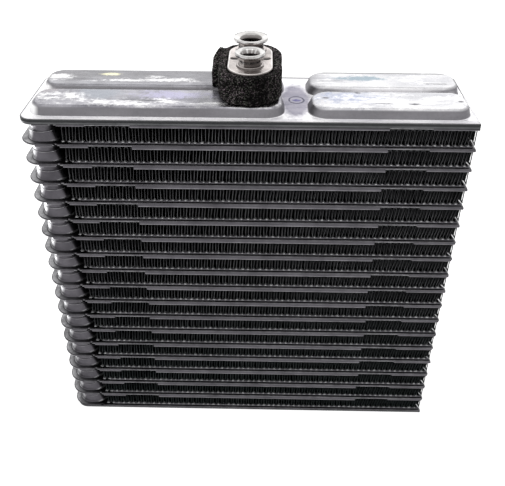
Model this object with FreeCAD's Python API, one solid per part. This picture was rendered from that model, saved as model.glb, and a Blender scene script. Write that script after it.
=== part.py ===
import FreeCAD, Part
import math
import os

from FreeCAD import Vector

# Brazed aluminium evaporator core, in millimetres.
# X runs along the flat tubes with the tank drums at -X, -Y is the front face, Z is up.
# The origin is the centre of the bottom side plate's lower face.

# Core envelope
core_width = 250.0
core_depth = 65.0
tube_count = 17
corner_radius = 8.0

# Sheet thicknesses
tube_sheet = 0.5
side_plate_sheet = 1.4
cover_sheet = 1.4

# Flat tubes: two pressed half plates brazed at their rims
channel_thickness = 2.8
channel_end_margin = 2.5
rim_width = 1.8
tank_end_overhang = 2.4
tank_end_radius = 11.0

# Tank drums at the left end of every tube, one for each half of the tank
drum_width = 17.2
drum_side_margin = 1.6
drum_end_margin = 3.0
drum_partition = 4.0
drum_to_channel = 1.5

# Corrugated fin strips
fin_height = 9.6
fin_sheet = 0.6
fin_fold = 11.3
fin_gap_to_drum = 3.4
fin_end_margin = 0.3

# Manifold cover: two ducts from the drums to the ports, and two stiffening pans
bulge_height = 5.6
bulge_draft = 2.2
bulge_corner = 10.0
bulge_groove = 2.0
bulge_front_margin = 4.6
bulge_rear_margin = 3.0
duct_left_margin = 4.2
duct_length = 141.0
pan_length = 89.0
pan_right_margin = 2.8

# Fitting block and its two pipe stubs
fitting_offset = 0.8
block_radius = 12.6
block_height = 16.5
block_front_centre = -8.6
block_rear_centre = 14.5
inlet_y = -8.0
outlet_y = 17.0
inlet_pipe_radius = 6.2
outlet_pipe_radius = 7.2
pipe_wall = 1.3
pipe_seat = 1.4
stub_height = 8.0
lip_thickness = 1.5
inlet_lip_radius = 8.3
outlet_lip_radius = 10.1
screw_radius = 2.1
screw_spacing = 18.0
screw_y = 3.5
screw_depth = 12.0

# Foam seal: one strip wrapped round the block, its end lapped on the left
foam_wall = 5.2
foam_clearance = 0.2
foam_below_block_top = 0.3
lap_thickness = 4.2
lap_front_y = 1.0
lap_angle = 33.0
lap_drop = 7.0

# Values worked out from the sizes above
half_width = core_width / 2
half_depth = core_depth / 2
tube_pitch = fin_height + channel_thickness
base_plane = side_plate_sheet
top_plane = base_plane + (tube_count + 1) * tube_pitch
cover_base = top_plane + side_plate_sheet
cover_flange_top = cover_base + cover_sheet
cover_top = cover_flange_top + bulge_height
block_top = cover_top + block_height
drum_radius = drum_width / 2
drum_x = -half_width + drum_side_margin + drum_radius
drum_right = drum_x + drum_radius
fin_start = drum_right + fin_gap_to_drum
fin_end = half_width - fin_end_margin
up = Vector(0, 0, 1)


def point(x, y, z=0.0):
    return Vector(x, y, z)


def line(a, b):
    return Part.LineSegment(a, b).toShape()


def arc(a, middle, b):
    return Part.Arc(a, middle, b).toShape()


def arc_about(cx, cy, radius, start, end, z):
    """Arc in the XY plane, its angles in degrees."""
    angles = [start, (start + end) / 2, end]
    spots = []
    for angle in angles:
        turn = math.radians(angle)
        spots.append(point(cx + radius * math.cos(turn), cy + radius * math.sin(turn), z))
    return arc(spots[0], spots[1], spots[2])


def extrude(wire, height):
    return Part.Face(wire).extrude(up * height)


def save(shape, name):
    shape.exportStep(os.path.join("parts", name + ".step"))


def plate(z, thickness, overhang=0.0, r=corner_radius):
    """Flat sheet with the core's outline: round corners at the tank end, square at the far end."""
    left = -half_width - overhang
    edges = [
        line(point(left + r, -half_depth, z), point(half_width, -half_depth, z)),
        line(point(half_width, -half_depth, z), point(half_width, half_depth, z)),
        line(point(half_width, half_depth, z), point(left + r, half_depth, z)),
        arc_about(left + r, half_depth - r, r, 90, 180, z),
        line(point(left, half_depth - r, z), point(left, -half_depth + r, z)),
        arc_about(left + r, -half_depth + r, r, 180, 270, z),
    ]
    return extrude(Part.Wire(edges), thickness)


def tube_rim(z, thickness):
    """Rim of a tube's half plates, whose tank end stands out past the side plates."""
    return plate(z, thickness, tank_end_overhang, tank_end_radius)


def drum_outline(side, z):
    """D-shaped outline of a tank drum: round towards the outside, straight at the partition."""
    r = drum_radius
    y_round = side * (half_depth - drum_end_margin - r)
    y_flat = side * drum_partition / 2
    left_flat = point(drum_x - r, y_flat, z)
    left_round = point(drum_x - r, y_round, z)
    tip = point(drum_x, y_round + side * r, z)
    right_round = point(drum_x + r, y_round, z)
    right_flat = point(drum_x + r, y_flat, z)
    return Part.Wire([
        line(left_flat, left_round),
        arc(left_round, tip, right_round),
        line(right_round, right_flat),
        line(right_flat, left_flat),
    ])


def drums(z, height):
    """The front and rear drums that rise from one tube to the rim of the next."""
    return [extrude(drum_outline(side, z), height) for side in (-1, 1)]


def channel(z, thickness):
    """Raised middle of a half plate, which the fins are brazed to."""
    start = drum_right + drum_to_channel
    length = half_width - channel_end_margin - start
    depth = core_depth - 2 * rim_width
    return Part.makeBox(length, depth, thickness, point(start, -depth / 2, z))


def flat_tube(z):
    """Two half plates brazed rim to rim about the plane z, and the drums up to the tube above."""
    rim = tube_rim(z - tube_sheet, 2 * tube_sheet)
    middle = channel(z - channel_thickness / 2, channel_thickness)
    return rim.multiFuse([middle] + drums(z, tube_pitch - tube_sheet)).removeSplitter()


def bottom_end_plate():
    """Single half plate under the first fin strip, with its drums."""
    rim = tube_rim(base_plane, tube_sheet)
    middle = channel(base_plane, channel_thickness / 2)
    return rim.multiFuse([middle] + drums(base_plane, tube_pitch - tube_sheet)).removeSplitter()


def top_end_plate():
    """Single half plate over the last fin strip."""
    rim = plate(top_plane - tube_sheet, tube_sheet)
    middle = channel(top_plane - channel_thickness / 2, channel_thickness / 2)
    return rim.fuse(middle).removeSplitter()


def fin_strip(z):
    """Zigzag strip between two tubes: its folds touch the tube below and the tube above."""
    length = fin_end - fin_start
    folds = max(2, round(length / fin_fold))
    step = length / folds
    reach = (fin_height - fin_sheet) / 2
    upper = []
    lower = []
    for i in range(folds + 1):
        height = reach if i % 2 else -reach
        x = fin_start + i * step
        upper.append(point(x, 0, z + height + fin_sheet / 2))
        lower.append(point(x, 0, z + height - fin_sheet / 2))
    depth = core_depth - 2 * rim_width
    corners = upper + lower[::-1]
    outline = Part.makePolygon(corners + corners[:1])
    strip = Part.Face(outline).extrude(point(0, depth, 0))
    strip.translate(point(0, -depth / 2, 0))
    return strip


def rounded_rectangle(x0, x1, y0, y1, radius, z):
    return Part.Wire([
        line(point(x0 + radius, y0, z), point(x1 - radius, y0, z)),
        arc_about(x1 - radius, y0 + radius, radius, 270, 360, z),
        line(point(x1, y0 + radius, z), point(x1, y1 - radius, z)),
        arc_about(x1 - radius, y1 - radius, radius, 0, 90, z),
        line(point(x1 - radius, y1, z), point(x0 + radius, y1, z)),
        arc_about(x0 + radius, y1 - radius, radius, 90, 180, z),
        line(point(x0, y1 - radius, z), point(x0, y0 + radius, z)),
        arc_about(x0 + radius, y0 + radius, radius, 180, 270, z),
    ])


def bulge(x0, x1, y0, y1):
    """Pressed pan with drafted walls, from the cover's flange up to its crown."""
    inset = bulge_draft
    foot = rounded_rectangle(x0, x1, y0, y1, bulge_corner, cover_flange_top)
    crown = rounded_rectangle(
        x0 + inset, x1 - inset, y0 + inset, y1 - inset, bulge_corner - inset, cover_top
    )
    return Part.makeLoft([foot, crown], True, True)


def bulge_bands():
    """The front and rear bands that the bulges fill, either side of the groove."""
    front = -half_depth + bulge_front_margin
    rear = half_depth - bulge_rear_margin
    middle = (front + rear) / 2
    return ((front, middle - bulge_groove / 2), (middle + bulge_groove / 2, rear))


def port_spots():
    return (
        (fitting_offset, inlet_y, inlet_pipe_radius),
        (fitting_offset, outlet_y, outlet_pipe_radius),
    )


def manifold_cover():
    """Pressed cover: two ducts on the left, two pans on the right, port holes in the ducts."""
    duct_x0 = -half_width + duct_left_margin
    pan_x1 = half_width - pan_right_margin
    spans = ((duct_x0, duct_x0 + duct_length), (pan_x1 - pan_length, pan_x1))
    bulges = []
    for x0, x1 in spans:
        for y0, y1 in bulge_bands():
            bulges.append(bulge(x0, x1, y0, y1))
    holes = []
    for x, y, radius in port_spots():
        holes.append(Part.makeCylinder(radius, pipe_seat, point(x, y, cover_top - pipe_seat)))
    return plate(cover_base, cover_sheet).multiFuse(bulges).cut(holes).removeSplitter()


def obround(radius, z):
    """Outline of the block or the foam: two half circles about the block's end centres."""
    x = fitting_offset
    return Part.Wire([
        arc_about(x, block_front_centre, radius, 180, 360, z),
        line(point(x + radius, block_front_centre, z), point(x + radius, block_rear_centre, z)),
        arc_about(x, block_rear_centre, radius, 0, 180, z),
        line(point(x - radius, block_rear_centre, z), point(x - radius, block_front_centre, z)),
    ])


def fitting_block():
    block = extrude(obround(block_radius, cover_top), block_height)
    cuts = []
    for x, y, radius in port_spots():
        cuts.append(Part.makeCylinder(radius, block_height, point(x, y, cover_top)))
    for side in (-1, 1):
        x = fitting_offset + side * screw_spacing / 2
        cuts.append(Part.makeCylinder(screw_radius, screw_depth, point(x, screw_y, block_top - screw_depth)))
    return block.cut(cuts)


def pipe_stub(y, pipe_radius, lip_radius):
    """Pipe through the block into the cover's port hole, with a lip round its mouth."""
    bore = pipe_radius - pipe_wall
    foot = cover_top - pipe_seat
    top = block_top + stub_height
    profile = [
        point(bore, 0, foot),
        point(pipe_radius, 0, foot),
        point(pipe_radius, 0, top - lip_thickness),
        point(lip_radius, 0, top - lip_thickness),
        point(lip_radius, 0, top),
        point(bore, 0, top),
    ]
    face = Part.Face(Part.makePolygon(profile + profile[:1]))
    stub = face.revolve(point(0, 0, 0), up, 360)
    stub.translate(point(fitting_offset, y, 0))
    return stub


def lap_outline(z):
    """Second layer of the strip, over the left side and round the rear corner."""
    x = fitting_offset
    inner = block_radius + foam_clearance + foam_wall
    outer = inner + lap_thickness
    far = 180 - lap_angle
    turn = math.radians(far)
    tip = point(x + inner * math.cos(turn), block_rear_centre + inner * math.sin(turn), z)
    corner = point(x + outer * math.cos(turn), block_rear_centre + outer * math.sin(turn), z)
    return Part.Wire([
        line(point(x - inner, lap_front_y, z), point(x - outer, lap_front_y, z)),
        line(point(x - outer, lap_front_y, z), point(x - outer, block_rear_centre, z)),
        arc_about(x, block_rear_centre, outer, 180, far, z),
        line(corner, tip),
        arc_about(x, block_rear_centre, inner, far, 180, z),
        line(point(x - inner, block_rear_centre, z), point(x - inner, lap_front_y, z)),
    ])


def foam_seal():
    """Foam wall round the block, with the lapped end that droops towards the front."""
    foot = cover_top + foam_clearance
    top = block_top - foam_below_block_top
    height = top - foot
    opening = block_radius + foam_clearance
    wall = extrude(obround(opening + foam_wall, foot), height)
    lap_radius = opening + foam_wall + lap_thickness
    lap_rear_y = block_rear_centre + lap_radius * math.sin(math.radians(lap_angle))
    droop = Part.makePolygon([
        point(-half_width, lap_front_y, top - lap_drop),
        point(-half_width, lap_rear_y, top),
        point(-half_width, lap_front_y, top),
        point(-half_width, lap_front_y, top - lap_drop),
    ])
    lap = extrude(lap_outline(foot), height).cut(Part.Face(droop).extrude(point(core_width, 0)))
    return wall.fuse(lap).cut(extrude(obround(opening, foot), height)).removeSplitter()


os.makedirs("parts", exist_ok=True)

save(plate(0.0, side_plate_sheet), "side_plate_bottom")
save(bottom_end_plate(), "end_plate_bottom")
for number in range(1, tube_count + 1):
    save(flat_tube(top_plane - number * tube_pitch), "flat_tube_%02d" % number)
for number in range(1, tube_count + 2):
    save(fin_strip(top_plane - (number - 0.5) * tube_pitch), "fin_strip_%02d" % number)
save(top_end_plate(), "end_plate_top")
save(plate(top_plane, side_plate_sheet), "side_plate_top")
save(manifold_cover(), "manifold_cover")
save(fitting_block(), "fitting_block")
save(pipe_stub(inlet_y, inlet_pipe_radius, inlet_lip_radius), "inlet_stub")
save(pipe_stub(outlet_y, outlet_pipe_radius, outlet_lip_radius), "outlet_stub")
save(foam_seal(), "foam_seal")
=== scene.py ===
# %% [markdown]
# # Evaporator core
# This lesson dresses a brazed aluminium evaporator core: flat tubes and folded fins between two
# side plates, tank drums at the left, and on top a pressed cover with a fitting block, two pipe
# stubs and a foam seal. Each visible piece is a finer mesh that takes the place of its solid, so
# we first load the solids and read their sizes.

# %% Load the frame
import math

import bmesh
import bpy
import numpy as np
from mathutils import Matrix, Vector
from mathutils import noise as noise_field
from mathutils.geometry import tessellate_polygon


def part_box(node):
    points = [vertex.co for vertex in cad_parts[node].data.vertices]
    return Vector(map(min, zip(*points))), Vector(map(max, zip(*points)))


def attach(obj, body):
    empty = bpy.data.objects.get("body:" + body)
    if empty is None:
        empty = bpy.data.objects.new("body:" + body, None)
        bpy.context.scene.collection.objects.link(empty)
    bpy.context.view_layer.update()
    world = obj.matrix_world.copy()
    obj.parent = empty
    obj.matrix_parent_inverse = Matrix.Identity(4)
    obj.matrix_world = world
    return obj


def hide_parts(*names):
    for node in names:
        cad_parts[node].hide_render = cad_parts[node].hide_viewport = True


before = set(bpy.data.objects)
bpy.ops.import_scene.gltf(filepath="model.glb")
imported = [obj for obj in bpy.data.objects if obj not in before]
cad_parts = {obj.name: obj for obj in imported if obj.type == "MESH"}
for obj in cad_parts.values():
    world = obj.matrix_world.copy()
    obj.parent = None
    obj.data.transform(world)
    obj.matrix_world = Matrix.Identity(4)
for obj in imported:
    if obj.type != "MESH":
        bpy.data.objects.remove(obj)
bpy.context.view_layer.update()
print("Solids loaded:", len(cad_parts))

# %% [markdown]
# We draw in millimetres, because sheet sizes are easy to read that way. Blender works in metres,
# so every mesh is scaled once, when it is made. The main levels are read from the solids.

# %% Main sizes
MM = 0.001
cover_sheet = 1.4


def span(node):
    """Lowest and highest corner of a solid, in millimetres."""
    low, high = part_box(node)
    return np.array(low) / MM, np.array(high) / MM


core_low, core_high = span("side_plate_top")
tube_count = sum(name.startswith("flat_tube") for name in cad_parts)
left, right = core_low[0], core_high[0]
tank_left = span("flat_tube_01")[0][0]
front, rear = core_low[1], core_high[1]
top_plane = core_low[2]
base_plane = span("end_plate_bottom")[0][2]
tube_pitch = (top_plane - base_plane) / (tube_count + 1)
cover_flange_top = core_high[2] + cover_sheet
cover_top, block_top = (corner[2] for corner in span("fitting_block"))
print("Core", right - left, "by", rear - front, "with", tube_count, "tubes every", tube_pitch)

# %% [markdown]
# ## Camera, floor and light
# The camera was solved from the tube edges. It stands half a metre away and looks down on the
# stack. Its focal length in pixels becomes a lens in millimetres.

# %% Camera
scene = bpy.context.scene


def put(name, data):
    """New object at the origin, linked to the scene."""
    thing = bpy.data.objects.new(name, data)
    scene.collection.objects.link(thing)
    return thing


image_width = 505
focal_pixels = 676.0
sensor_width = 36.0
camera_place = Vector((8.95, -366.41, 382.38)) * MM
yaw, pitch, roll = (math.radians(turn) for turn in (-1.031, 35.035, 0.205))

camera_data = bpy.data.cameras.new("camera")
camera_data.sensor_width = sensor_width
camera_data.lens = focal_pixels * sensor_width / image_width
camera_data.clip_start = 0.01
camera = put("camera", camera_data)
camera.matrix_world = (Matrix.Translation(camera_place) @ Matrix.Rotation(-yaw, 4, "Z")
                       @ Matrix.Rotation(math.pi / 2 - pitch, 4, "X") @ Matrix.Rotation(roll, 4, "Z"))
scene.camera = camera
print("Lens", round(camera_data.lens, 2))

# %% [markdown]
# A broad softbox stands behind the core: level faces mirror it and turn pale, while the walls
# mirror the floor and stay grey. A second one above fills in the front, and a low lamp on the left
# puts a bright streak on each drum. The floor and the world show as white to the camera and to
# mirror rays but give little light, so the floor keeps a soft shadow.
# A class comes first that adds and joins nodes in few words.

# %% Node helpers


class Nodes:
    """A node tree while it is made. Each helper adds a node and gives its output."""

    def __init__(self, tree):
        self.tree = tree

    def feed(self, node, inputs):
        """Fills inputs, by name or in order, each with a value or with another node's output."""
        for socket, value in inputs.items() if isinstance(inputs, dict) else enumerate(inputs):
            if isinstance(value, bpy.types.NodeSocket):
                self.tree.links.new(value, node.inputs[socket])
            else:
                is_colour = node.inputs[socket].type == "RGBA"
                node.inputs[socket].default_value = (*value, 1) if is_colour else value

    def add(self, kind, inputs=(), output=0, **settings):
        """Adds a node. An output of None gives all of them."""
        node = self.tree.nodes.new(kind)
        for name, value in settings.items():
            setattr(node, name, value)
        self.feed(node, inputs)
        return node.outputs if output is None else node.outputs[output]

    def reckon(self, operation, first, second=0.0, clamp=False):
        return self.add("ShaderNodeMath", (first, second), operation=operation, use_clamp=clamp)

    def plus(self, first, second):
        return self.reckon("ADD", first, second)

    def minus(self, first, second, clamp=False):
        return self.reckon("SUBTRACT", first, second, clamp)

    def times(self, first, second):
        return self.reckon("MULTIPLY", first, second)

    def ramp(self, value, low, high, to_low=0.0, to_high=1.0):
        """Maps low to to_low and high to to_high, and holds those two beyond them."""
        return self.add("ShaderNodeMapRange", (value, low, high, to_low, to_high))


# %% World and floor
scene.view_settings.view_transform = "Standard"
white = (1, 1, 1)


def seen_as_white(nodes, quiet, loud):
    """Value that is loud to camera, glossy and transmission rays, and quiet to the rest."""
    rays = nodes.add("ShaderNodeLightPath", output=None)
    either = nodes.reckon("MAXIMUM", rays["Is Camera Ray"], rays["Is Glossy Ray"])
    return nodes.ramp(nodes.reckon("MAXIMUM", either, rays["Is Transmission Ray"]), 0, 1, quiet, loud)


world = bpy.data.worlds.new("studio")
scene.world = world
world.use_nodes = True
sky = Nodes(world.node_tree)
sky.feed(sky.tree.nodes["Background"], {"Color": white, "Strength": seen_as_white(sky, 0.45, 1.0)})

half = 3.0
floor_mesh = bpy.data.meshes.new("floor")
floor_mesh.from_pydata([(-half, -half, 0), (half, -half, 0), (half, half, 0), (-half, half, 0)], [],
                       [(0, 1, 2, 3)])
floor = put("floor", floor_mesh)
paper = bpy.data.materials.new("paper")
paper.use_nodes = True
nodes = Nodes(paper.node_tree)
nodes.feed(nodes.tree.nodes["Principled BSDF"],
           {"Base Color": (0.86, 0.86, 0.86), "Roughness": 0.9, "Specular IOR Level": 0.0,
            "Emission Color": white, "Emission Strength": seen_as_white(nodes, 0.0, 0.8)})
floor_mesh.materials.append(paper)

# %% Lamps


def softbox(name, place, aim, width, height, radiance):
    """Rectangular lamp. Its energy grows with its area, so size changes only how soft it is."""
    data = bpy.data.lights.new(name, "AREA")
    data.shape = "RECTANGLE"
    data.size, data.size_y = width, height
    data.energy = radiance * math.pi * width * height
    lit = put(name, data)
    lit.location = place
    lit.rotation_euler = (Vector(aim) - Vector(place)).to_track_quat("-Z", "Y").to_euler()
    lit.visible_camera = False


softbox("lamp_behind", (0.1, 1.3, 0.92), (0, 0, 0.2), 1.7, 1.2, 0.7)
softbox("lamp_above", (0, -0.15, 1.3), (0, 0, 0.2), 1.1, 0.8, 0.7)
softbox("lamp_low_left", (-0.4, 0.14, 0.006), (-0.4, 0.141, 1), 0.45, 0.28, 3.0)

# %% [markdown]
# ## Finishes
# Brazed aluminium is a dull mirror: its colour is a mid grey, and what we read as silver is the
# room in it. Each finish is noise in Object coordinates: fine grain for roughness, soft stains for
# colour, and a slow wave in the bump, so that highlights wander as they do on thin sheet.

# %% A finish in the making


class Finish(Nodes):
    """A material while it is made. Its last step feeds the shader."""

    def __init__(self, name):
        self.material = bpy.data.materials.new(name)
        self.material.use_nodes = True
        super().__init__(self.material.node_tree)
        self.coordinates = self.add("ShaderNodeTexCoord", output=None)
        self.where = self.coordinates["Object"]

    def parts(self, coordinate):
        """X, Y and Z of Object, the place in metres, or of Normal, the way that a face looks."""
        return self.add("ShaderNodeSeparateXYZ", (self.coordinates[coordinate],), None)

    def noise(self, scale, detail, roughness, stretch=(1, 1, 1)):
        """Noise that repeats about every 1/scale metres, stretched along the axes."""
        place = self.add("ShaderNodeMapping", {"Vector": self.where, "Scale": stretch})
        return self.add("ShaderNodeTexNoise", {"Vector": place, "Scale": scale, "Detail": detail,
                                               "Roughness": roughness})

    def mix(self, factor, first, second):
        return self.add("ShaderNodeMix", {0: factor, 6: first, 7: second}, 2, data_type="RGBA")

    def bump(self, height, strength, distance, below=None):
        inputs = {"Strength": strength, "Distance": distance, "Height": height}
        return self.add("ShaderNodeBump", {**inputs, "Normal": below} if below else inputs)

    def steep(self):
        """0 on level faces and 1 on upright ones."""
        return self.ramp(self.reckon("ABSOLUTE", self.parts("Normal")["Z"]), 0.93, 0.45)

    def between(self, axis, low, high, to_low=0.0, to_high=1.0):
        """0 below the low place along an axis and 1 above the high one, both in millimetres."""
        return self.ramp(self.parts("Object")[axis], low * MM, high * MM, to_low, to_high)

    def spot(self, x, y, length, width, edge=0.35, wobble=0.25):
        """1 inside a soft-edged oval, 0 outside. Its place and half sizes are in millimetres."""
        place = self.add("ShaderNodeMapping",
                         {"Vector": self.where, "Location": (-x / length, -y / width, 0),
                          "Scale": (1 / (length * MM), 1 / (width * MM), 0)})
        far = self.add("ShaderNodeVectorMath", (place,), "Value", operation="LENGTH")
        ragged = self.ramp(self.noise(350, 4, 0.65), 0.3, 0.7, -wobble, wobble)
        return self.ramp(self.plus(far, ragged), 1 + edge, 1 - edge)

    def wear_and_painted_light(self):
        """The mark of wear and painted light that the skins carry: 1 for rubbed edges and painted
        highlights, -1 for dark edges and painted shade.
        """
        return self.add("ShaderNodeAttribute", output="Fac", attribute_name="wear_and_painted_light")

    def shade(self, inputs):
        """Feeds the shader and gives the finished material."""
        self.feed(self.tree.nodes["Principled BSDF"], inputs)
        return self.material


# %% Finishes of the core
dark_edge_and_painted_shade = (0.05, 0.05, 0.053)
fin_shade = (0.006, 0.007, 0.0075)


def worn_sheet_with_painted_light(name, level, upright, worn_and_highlight, rough, wave=0.0, low=None):
    """Dull sheet with stains, rubbed edges and painted light. Level and upright are pairs of tones, clean
    and stained; their difference is painted light. The third pair is for fins low down. The fins'
    left faces and the tops of their rows get painted shade."""
    f = Finish(name)
    stains = f.ramp(f.noise(60, 6, 0.62), 0.36, 0.66)
    wall = f.mix(stains, *upright)
    if low:
        wall = f.mix(f.between("Z", 20, 130), f.mix(stains, *low), wall)
        # Painted shade on the fins' faces that look to the left.
        wall = f.mix(f.ramp(f.parts("Normal")["X"], -0.3, -0.7, 0, 0.93), wall, fin_shade)
        # Painted shade near the top of each row of fins, under the tube above.
        up_the_row = f.reckon("FRACT", f.times(f.between("Z", base_plane, top_plane), tube_count + 1.0))
        wall = f.mix(f.ramp(up_the_row, 0.3, 0.8, 0, 0.65), wall, fin_shade)
    # Level and upright faces take different tones: painted light.
    colour = f.mix(f.steep(), f.mix(stains, *level), wall)
    mark = f.wear_and_painted_light()
    # Marks below 0 darken: dark edges and painted shade.
    colour = f.mix(f.ramp(mark, 0, -1), colour, dark_edge_and_painted_shade)
    # Marks above 0 brighten: rubbed edges and painted highlights.
    patches = f.ramp(f.noise(210, 3, 0.6), 0.35, 0.6, 0.35, 1.0)
    colour = f.mix(f.times(f.ramp(mark, 0, 1), patches), colour, worn_and_highlight)
    grain = f.noise(900, 3, 0.6)
    normal = f.bump(grain, 0.25, 0.00004)
    if wave:
        normal = f.bump(f.noise(60, 2, 0.5), 1.0, wave, normal)
    return f.shade({"Base Color": colour, "Metallic": 1.0, "Roughness": f.ramp(grain, 0.3, 0.7, *rough),
                    "Normal": normal})


# Level and upright tones differ as painted light: the tubes' level faces are darker, the block's and the
# pipes' level faces much brighter.
tube_metal = worn_sheet_with_painted_light("tube_sheet", ((0.075, 0.073, 0.078), (0.045, 0.043, 0.047)),
                        ((0.14, 0.132, 0.148), (0.08, 0.075, 0.085)),
                        worn_and_highlight=(0.62, 0.62, 0.635), rough=(0.28, 0.42), wave=0.00012)
plate_metal = worn_sheet_with_painted_light("plate_sheet", ((0.12, 0.12, 0.125), (0.08, 0.08, 0.085)),
                         ((0.1, 0.102, 0.105), (0.06, 0.062, 0.065)),
                         worn_and_highlight=(0.4, 0.4, 0.41), rough=(0.35, 0.5), wave=0.0001)
block_metal = worn_sheet_with_painted_light("block_face", ((0.6, 0.55, 0.53), (0.27, 0.245, 0.235)),
                         ((0.19, 0.172, 0.166), (0.12, 0.108, 0.104)),
                         worn_and_highlight=(0.85, 0.83, 0.82), rough=(0.24, 0.38), wave=0.0002)
pipe_metal = worn_sheet_with_painted_light("turned_pipe", ((0.66, 0.65, 0.64), (0.45, 0.44, 0.43)),
                        ((0.2, 0.18, 0.175), (0.12, 0.108, 0.104)),
                        worn_and_highlight=(0.95, 0.94, 0.93), rough=(0.12, 0.22))
fin_metal = worn_sheet_with_painted_light("fin_sheet", ((0.105, 0.105, 0.11), (0.07, 0.07, 0.073)),
                       ((0.16, 0.16, 0.168), (0.096, 0.096, 0.1)),
                       worn_and_highlight=(0.85, 0.85, 0.86), rough=(0.4, 0.6),
                       low=((0.082, 0.1, 0.1), (0.048, 0.06, 0.058)))

# %% [markdown]
# The cover carries most marks: bloom and stains from the brazing furnace, painted highlights along
# the ducts, scuffs, a painted shadow of the foam seal, and an inked ring where it was inspected. Each
# is an oval with a ragged edge, so two tables hold the marks and a loop lays them one over the other.

# %% Marks on the cover
# Tones of the one sheet, region by region: their differences are painted light, the rear duct's lighter
# front side is painted light, and the flange's near white is a painted highlight.
cover_tones_with_painted_light = {
    "front duct": ((0.34, 0.333, 0.362), (0.15, 0.147, 0.168)),
    "rear duct": ((0.21, 0.207, 0.222), (0.14, 0.137, 0.147)),
    "rear duct, painted lit front side": ((0.29, 0.287, 0.31), (0.17, 0.166, 0.18)),
    "pan": ((0.6, 0.595, 0.605), (0.42, 0.42, 0.445)),
    "flange": ((0.97, 0.96, 0.97), (0.78, 0.77, 0.8)),
    "middle": ((0.36, 0.345, 0.4), (0.24, 0.23, 0.285)),
}
bloom_and_highlight, blue, violet = (0.78, 0.775, 0.78), (0.2, 0.27, 0.32), (0.36, 0.345, 0.47)
# Ovals: x, y, half length, half width, then a tint and how sparse it is. The long thin white ovals
# at y -20.5, 11.2 and 12 are painted highlights near the front edges of the ducts' crowns.
stains_and_highlights_on_crowns = (
    (-116, -4, 8, 4, (0.29, 0.265, 0.28), 0.2), (-84, -9, 12, 8, (0.25, 0.265, 0.3), 0.3),
    (-43, -10, 19, 5, violet, 0.38), (65, 17.5, 13, 3.2, blue, 0.12),
    (56, -11, 17, 6.5, (0.27, 0.3, 0.41), 0.18), (-113, 15.5, 8, 4, bloom_and_highlight, 0.4),
    (-107, -13, 14, 5, bloom_and_highlight, 0.41), (-60, 12, 50, 2.6, bloom_and_highlight, 0.5), (-52, -20.5, 45, 4.2, bloom_and_highlight, 0.47),
    (-56, 15, 6, 4, bloom_and_highlight, 0.48), (-60, 11.2, 20, 1.6, bloom_and_highlight, 0.38),
    (-82.3, 20.3, 4.6, 1.8, (0.8, 0.77, 0.5), 0.25), (84, -16, 40, 9, bloom_and_highlight, 0.45),
    (70, 16, 46, 10, bloom_and_highlight, 0.53), (3, -23, 14, 3, bloom_and_highlight, 0.4))
# Ovals, then how dark each is: scuffs, and at (-23, 11) a painted shadow of the foam seal
scuffs_and_painted_shadow = (
    (-56, -18.2, 9, 0.7, 0.75), (-104, 12.2, 14, 0.7, 0.75), (-98, -2.2, 11, 0.6, 0.9),
    (-52, -1.9, 30, 0.6, 0.9), (-23, 11, 7, 9, 0.4), (-120, 12, 3, 10, 0.3), (43, -12, 1.9, 1.1, 0.9),
    (117, -15.5, 1.6, 1.1, 0.9), (61.6, -4.7, 1.8, 0.9, 0.9), (56, -3.6, 9, 0.5, 0.7),
    (91, -19.5, 3.6, 0.9, 0.9), (74, -19, 4, 0.4, 0.7), (-12, -17, 0.9, 0.9, 0.6), (108, 10, 6, 0.9, 0.7),
    (47, 13, 7, 0.5, 0.6))
ink_place, ink_size = (27.2, -2.4), (4.7, 5.3)

# %% Finish of the cover


def cover_crown(f, tone, to_pans, shine):
    """Colour of the level faces: ducts and pans in tones that differ as painted light, with their stains
    and painted highlights, the flange painted near white as a painted highlight, specks and ink.
    """
    duct = f.mix(f.between("Y", -1, 3), tone["front duct"],
                 f.mix(f.between("Y", 18, 9), tone["rear duct"], tone["rear duct, painted lit front side"]))
    crown = f.mix(to_pans, duct, tone["pan"])
    for *oval, tint, limit in stains_and_highlights_on_crowns:
        mask = f.times(f.spot(*oval, 0.4, 0.6), f.ramp(shine, limit, limit + 0.08))
        crown = f.mix(f.times(mask, 0.9), crown, tint)
    level = f.mix(f.between("Z", cover_flange_top + 0.3, cover_flange_top + 1.2), tone["flange"], crown)
    level = f.mix(f.spot(26.5, -3, 8.5, 23, 0.2, 0.1), level, tone["middle"])
    level = f.mix(f.ramp(f.noise(1500, 2, 0.6), 0.66, 0.72, 0, 0.6), level, (0.1, 0.1, 0.11))
    ring = f.minus(f.spot(*ink_place, *ink_size, 0.05, 0.05),
                   f.spot(*ink_place, ink_size[0] - 0.95, ink_size[1] - 1.1, 0.06, 0.06), True)
    dot = f.spot(ink_place[0] + 0.2, ink_place[1] - 0.3, 1.9, 1.5, 0.2, 0.6)
    ink = f.times(f.ramp(f.noise(700, 3, 0.6), 0.35, 0.55, 0.45, 1.0), 0.9)
    for mark, tint in ((ring, (0.012, 0.012, 0.05)), (dot, (0.06, 0.05, 0.22))):
        level = f.mix(f.times(mark, ink), level, tint)
    return level


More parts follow.
